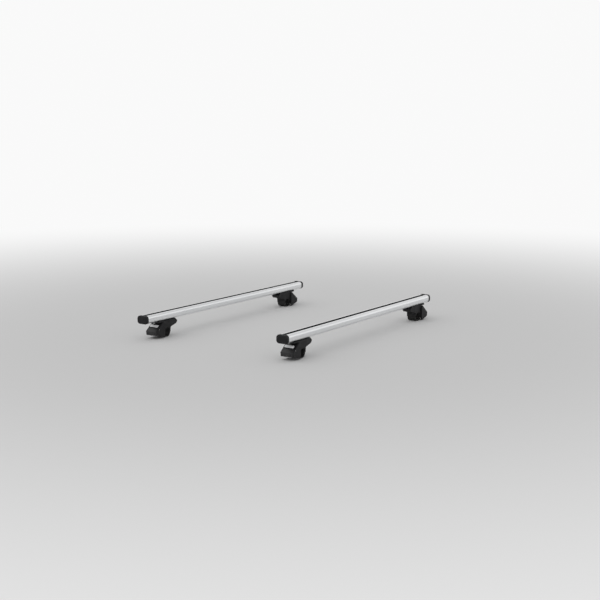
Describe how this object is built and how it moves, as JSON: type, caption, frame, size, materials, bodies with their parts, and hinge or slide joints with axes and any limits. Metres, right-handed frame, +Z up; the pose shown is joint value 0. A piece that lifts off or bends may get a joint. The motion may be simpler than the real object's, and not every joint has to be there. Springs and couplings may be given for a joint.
{
  "type": "pair of roof cross bars",
  "caption": "Pair of aluminium roof cross bars with rubber strips, end caps and lockable clamp-on feet that strap round a car's raised side rails.",
  "frame": {"origin": "on the ground under the middle of the pair, level with the bottoms of the straps", "axes": "+X along the bars towards the left, +Y towards the rear bar, +Z up"},
  "size_m": [1.232, 0.815, 0.1136],
  "materials": {
    "bar_aluminium": "satin anodised",
    "strip_rubber": "matt black rubber",
    "cap_plastic": "fine-grained black plastic",
    "foot_plastic": "grained black glass-filled nylon",
    "lid_plastic": "satin black plastic",
    "pad_rubber": "matt black rubber",
    "strap_rubber": "black rubber coating over steel band",
    "steel": "zinc plated",
    "lock_metal": "dark plated zinc"
  },
  "bodies": {
    "bars": {"front_bar": "bar_aluminium", "front_bar_strip": "strip_rubber", "front_left_end_cap": "cap_plastic", "front_right_end_cap": "cap_plastic", "rear_bar": "bar_aluminium", "rear_bar_strip": "strip_rubber", "rear_left_end_cap": "cap_plastic", "rear_right_end_cap": "cap_plastic"},
    "front_left_foot": {"front_left_foot_body": "foot_plastic", "front_left_rail_pad": "pad_rubber", "front_left_strap": "strap_rubber", "front_left_anchor_pin": "steel", "front_left_slot_nuts": "steel", "front_left_bar_bolts": "steel", "front_left_lid_pin": "steel"},
    "front_left_lid_body": {"front_left_lid": "lid_plastic"},
    "front_left_lock": {"front_left_lock_barrel": "lock_metal"},
    "front_left_screw": {"front_left_tension_screw": "steel"},
    "front_left_yoke": {"front_left_tension_yoke": "steel"},
    "front_right_foot": {"front_right_foot_body": "foot_plastic", "front_right_rail_pad": "pad_rubber", "front_right_strap": "strap_rubber", "front_right_anchor_pin": "steel", "front_right_slot_nuts": "steel", "front_right_bar_bolts": "steel", "front_right_lid_pin": "steel"},
    "front_right_lid_body": {"front_right_lid": "lid_plastic"},
    "front_right_lock": {"front_right_lock_barrel": "lock_metal"},
    "front_right_screw": {"front_right_tension_screw": "steel"},
    "front_right_yoke": {"front_right_tension_yoke": "steel"},
    "rear_left_foot": {"rear_left_foot_body": "foot_plastic", "rear_left_rail_pad": "pad_rubber", "rear_left_strap": "strap_rubber", "rear_left_anchor_pin": "steel", "rear_left_slot_nuts": "steel", "rear_left_bar_bolts": "steel", "rear_left_lid_pin": "steel"},
    "rear_left_lid_body": {"rear_left_lid": "lid_plastic"},
    "rear_left_lock": {"rear_left_lock_barrel": "lock_metal"},
    "rear_left_screw": {"rear_left_tension_screw": "steel"},
    "rear_left_yoke": {"rear_left_tension_yoke": "steel"},
    "rear_right_foot": {"rear_right_foot_body": "foot_plastic", "rear_right_rail_pad": "pad_rubber", "rear_right_strap": "strap_rubber", "rear_right_anchor_pin": "steel", "rear_right_slot_nuts": "steel", "rear_right_bar_bolts": "steel", "rear_right_lid_pin": "steel"},
    "rear_right_lid_body": {"rear_right_lid": "lid_plastic"},
    "rear_right_lock": {"rear_right_lock_barrel": "lock_metal"},
    "rear_right_screw": {"rear_right_tension_screw": "steel"},
    "rear_right_yoke": {"rear_right_tension_yoke": "steel"}
  },
  "joints": [
    {"name": "front_left_foot_slide", "type": "slide", "parent": "bars", "child": "front_left_foot", "axis": [1, 0, 0], "range_m": [-0.25, 0.008]},
    {"name": "front_left_lid_hinge", "type": "hinge", "parent": "front_left_foot", "child": "front_left_lid_body", "pos_m": [0.56025, -0.3755, 0.04246], "axis": [0, -1, 0], "range_deg": [0, 60]},
    {"name": "front_left_lock_turn", "type": "hinge", "parent": "front_left_lid_body", "child": "front_left_lock", "pos_m": [0.577, -0.356, 0.026], "axis": [1, 0, 0], "range_deg": [-90, 0]},
    {"name": "front_left_screw_turn", "type": "hinge", "parent": "front_left_foot", "child": "front_left_screw", "pos_m": [0.54062, -0.3755, 0.01326], "axis": [0.9659, 0, 0.2588], "range_deg": [-541, 1441]},
    {"name": "front_left_yoke_slide", "type": "slide", "parent": "front_left_foot", "child": "front_left_yoke", "axis": [0.9659, 0, 0.2588], "range_m": [-0.008, 0.003], "deforming": ["front_left_strap"]},
    {"name": "front_right_foot_slide", "type": "slide", "parent": "bars", "child": "front_right_foot", "axis": [-1, 0, 0], "range_m": [-0.25, 0.008]},
    {"name": "front_right_lid_hinge", "type": "hinge", "parent": "front_right_foot", "child": "front_right_lid_body", "pos_m": [-0.56025, -0.3755, 0.04246], "axis": [0, 1, 0], "range_deg": [0, 60]},
    {"name": "front_right_lock_turn", "type": "hinge", "parent": "front_right_lid_body", "child": "front_right_lock", "pos_m": [-0.577, -0.395, 0.026], "axis": [-1, 0, 0], "range_deg": [-90, 0]},
    {"name": "front_right_screw_turn", "type": "hinge", "parent": "front_right_foot", "child": "front_right_screw", "pos_m": [-0.54062, -0.3755, 0.01326], "axis": [-0.9659, 0, 0.2588], "range_deg": [-541, 1441]},
    {"name": "front_right_yoke_slide", "type": "slide", "parent": "front_right_foot", "child": "front_right_yoke", "axis": [-0.9659, 0, 0.2588], "range_m": [-0.008, 0.003], "deforming": ["front_right_strap"]},
    {"name": "rear_left_foot_slide", "type": "slide", "parent": "bars", "child": "rear_left_foot", "axis": [1, 0, 0], "range_m": [-0.226, 0.032]},
    {"name": "rear_left_lid_hinge", "type": "hinge", "parent": "rear_left_foot", "child": "rear_left_lid_body", "pos_m": [0.53625, 0.3755, 0.04246], "axis": [0, -1, 0], "range_deg": [0, 60]},
    {"name": "rear_left_lock_turn", "type": "hinge", "parent": "rear_left_lid_body", "child": "rear_left_lock", "pos_m": [0.553, 0.395, 0.026], "axis": [1, 0, 0], "range_deg": [-90, 0]},
    {"name": "rear_left_screw_turn", "type": "hinge", "parent": "rear_left_foot", "child": "rear_left_screw", "pos_m": [0.51662, 0.3755, 0.01326], "axis": [0.9659, 0, 0.2588], "range_deg": [-541, 1441]},
    {"name": "rear_left_yoke_slide", "type": "slide", "parent": "rear_left_foot", "child": "rear_left_yoke", "axis": [0.9659, 0, 0.2588], "range_m": [-0.008, 0.003], "deforming": ["rear_left_strap"]},
    {"name": "rear_right_foot_slide", "type": "slide", "parent": "bars", "child": "rear_right_foot", "axis": [-1, 0, 0], "range_m": [-0.226, 0.032]},
    {"name": "rear_right_lid_hinge", "type": "hinge", "parent": "rear_right_foot", "child": "rear_right_lid_body", "pos_m": [-0.53625, 0.3755, 0.04246], "axis": [0, 1, 0], "range_deg": [0, 60]},
    {"name": "rear_right_lock_turn", "type": "hinge", "parent": "rear_right_lid_body", "child": "rear_right_lock", "pos_m": [-0.553, 0.356, 0.026], "axis": [-1, 0, 0], "range_deg": [-90, 0]},
    {"name": "rear_right_screw_turn", "type": "hinge", "parent": "rear_right_foot", "child": "rear_right_screw", "pos_m": [-0.51662, 0.3755, 0.01326], "axis": [-0.9659, 0, 0.2588], "range_deg": [-541, 1441]},
    {"name": "rear_right_yoke_slide", "type": "slide", "parent": "rear_right_foot", "child": "rear_right_yoke", "axis": [-0.9659, 0, 0.2588], "range_m": [-0.008, 0.003], "deforming": ["rear_right_strap"]}
  ],
  "couplings": [
    {"joint": "front_left_screw_turn", "follows": "front_left_yoke_slide", "rad_per_m": -3141.6},
    {"joint": "front_right_screw_turn", "follows": "front_right_yoke_slide", "rad_per_m": -3141.6},
    {"joint": "rear_left_screw_turn", "follows": "rear_left_yoke_slide", "rad_per_m": -3141.6},
    {"joint": "rear_right_screw_turn", "follows": "rear_right_yoke_slide", "rad_per_m": -3141.6}
  ]
}
